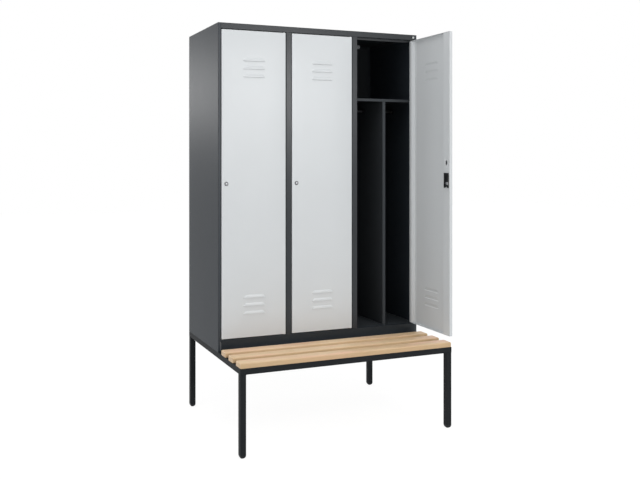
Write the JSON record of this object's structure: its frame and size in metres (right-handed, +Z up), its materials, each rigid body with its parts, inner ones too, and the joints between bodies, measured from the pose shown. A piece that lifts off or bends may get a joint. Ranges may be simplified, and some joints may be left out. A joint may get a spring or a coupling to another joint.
{
  "type": "locker with bench",
  "caption": "Steel locker of hinged, louvred doors with cylinder locks, on a square tube bench frame with wooden seat slats.",
  "frame": {"origin": "on the floor under the middle of the bench frame", "axes": "+Z up, -Y towards the front, where the doors and the seat are, +X to the right seen from the front"},
  "size_m": [1.2, 0.849, 2.13],
  "materials": {
    "body_paint": "anthracite powder coat, satin",
    "frame_paint": "anthracite powder coat, satin",
    "door_paint": "light grey powder coat, satin",
    "beech": "clear lacquered beech",
    "black_plastic": "moulded, fine grained",
    "pale_rubber": "soft, matte",
    "pale_plastic": "moulded, smooth",
    "chrome": "polished",
    "dark_nickel": "dark nickel plate",
    "zinc_steel": "bright zinc plate",
    "rail_steel": "galvanised tube"
  },
  "bodies": {
    "root": {"side_panel_left": "body_paint", "side_panel_right": "body_paint", "back_panel": "body_paint", "top_panel": "body_paint", "floor_panel": "body_paint", "top_rail": "body_paint", "bottom_rail": "body_paint", "middle_post_1": "body_paint", "middle_post_2": "body_paint", "inner_wall_1": "body_paint", "inner_wall_2": "body_paint", "hat_shelf_1": "body_paint", "hat_shelf_2": "body_paint", "hat_shelf_3": "body_paint", "partition_1": "body_paint", "partition_2": "body_paint", "partition_3": "body_paint", "frame_front_rail": "frame_paint", "frame_rear_rail": "frame_paint", "frame_left_rail": "frame_paint", "frame_right_rail": "frame_paint", "frame_cross_rail": "frame_paint", "legs": "frame_paint", "coat_rails": "rail_steel", "rail_cups": "black_plastic", "door_buffers": "pale_rubber", "rail_cap": "pale_plastic", "rail_cap_ring": "black_plastic", "hinge_bushes": "black_plastic", "body_bolts": "zinc_steel", "feet": "black_plastic", "slat_front": "beech", "slat_middle": "beech", "slat_rear": "beech", "slat_screws": "zinc_steel"},
    "door_1": {"door_panel_1": "door_paint", "hinge_stiffener_1": "door_paint", "lock_channel_1": "door_paint", "lock_case_1": "black_plastic", "lock_barrel_1": "dark_nickel", "hinge_pins_1": "zinc_steel"},
    "lock_core_1": {"lock_core_1": "chrome"},
    "lock_bolt_1": {"lock_bolt_1": "zinc_steel"},
    "door_2": {"door_panel_2": "door_paint", "hinge_stiffener_2": "door_paint", "lock_channel_2": "door_paint", "lock_case_2": "black_plastic", "lock_barrel_2": "dark_nickel", "hinge_pins_2": "zinc_steel"},
    "lock_core_2": {"lock_core_2": "chrome"},
    "lock_bolt_2": {"lock_bolt_2": "zinc_steel"},
    "door_3": {"door_panel_3": "door_paint", "hinge_stiffener_3": "door_paint", "lock_channel_3": "door_paint", "lock_case_3": "black_plastic", "lock_barrel_3": "dark_nickel", "hinge_pins_3": "zinc_steel"},
    "lock_core_3": {"lock_core_3": "chrome"},
    "lock_bolt_3": {"lock_bolt_3": "zinc_steel"}
  },
  "joints": [
    {"name": "door_1_swing", "type": "hinge", "parent": "root", "child": "door_1", "pos_m": [-0.226, -0.0865, 1.297], "axis": [0, 0, 1], "range_deg": [0, 110]},
    {"name": "lock_1_turn", "type": "hinge", "parent": "door_1", "child": "lock_core_1", "pos_m": [-0.555, -0.0925, 1.297], "axis": [0, 1, 0], "range_deg": [0, 90]},
    {"name": "lock_1_bolt", "type": "slide", "parent": "door_1", "child": "lock_bolt_1", "axis": [-1, 0, 0], "range_m": [0, 0.011]},
    {"name": "door_2_swing", "type": "hinge", "parent": "root", "child": "door_2", "pos_m": [0.174, -0.0865, 1.297], "axis": [0, 0, 1], "range_deg": [0, 110]},
    {"name": "lock_2_turn", "type": "hinge", "parent": "door_2", "child": "lock_core_2", "pos_m": [-0.155, -0.0925, 1.297], "axis": [0, 1, 0], "range_deg": [0, 90]},
    {"name": "lock_2_bolt", "type": "slide", "parent": "door_2", "child": "lock_bolt_2", "axis": [-1, 0, 0], "range_m": [0, 0.011]},
    {"name": "door_3_swing", "type": "hinge", "parent": "root", "child": "door_3", "pos_m": [0.574, -0.0865, 1.297], "axis": [0, 0, 1], "range_deg": [-90, 20]},
    {"name": "lock_3_turn", "type": "hinge", "parent": "door_3", "child": "lock_core_3", "pos_m": [0.58, -0.4155, 1.297], "axis": [-1, 0, 0], "range_deg": [0, 90]},
    {"name": "lock_3_bolt", "type": "slide", "parent": "door_3", "child": "lock_bolt_3", "axis": [0, -1, 0], "range_m": [0, 0.011]}
  ],
  "couplings": [
    {"joint": "lock_1_bolt", "follows": "lock_1_turn", "m_per_rad": 0.0070028},
    {"joint": "lock_2_bolt", "follows": "lock_2_turn", "m_per_rad": 0.0070028},
    {"joint": "lock_3_bolt", "follows": "lock_3_turn", "m_per_rad": 0.0070028}
  ]
}
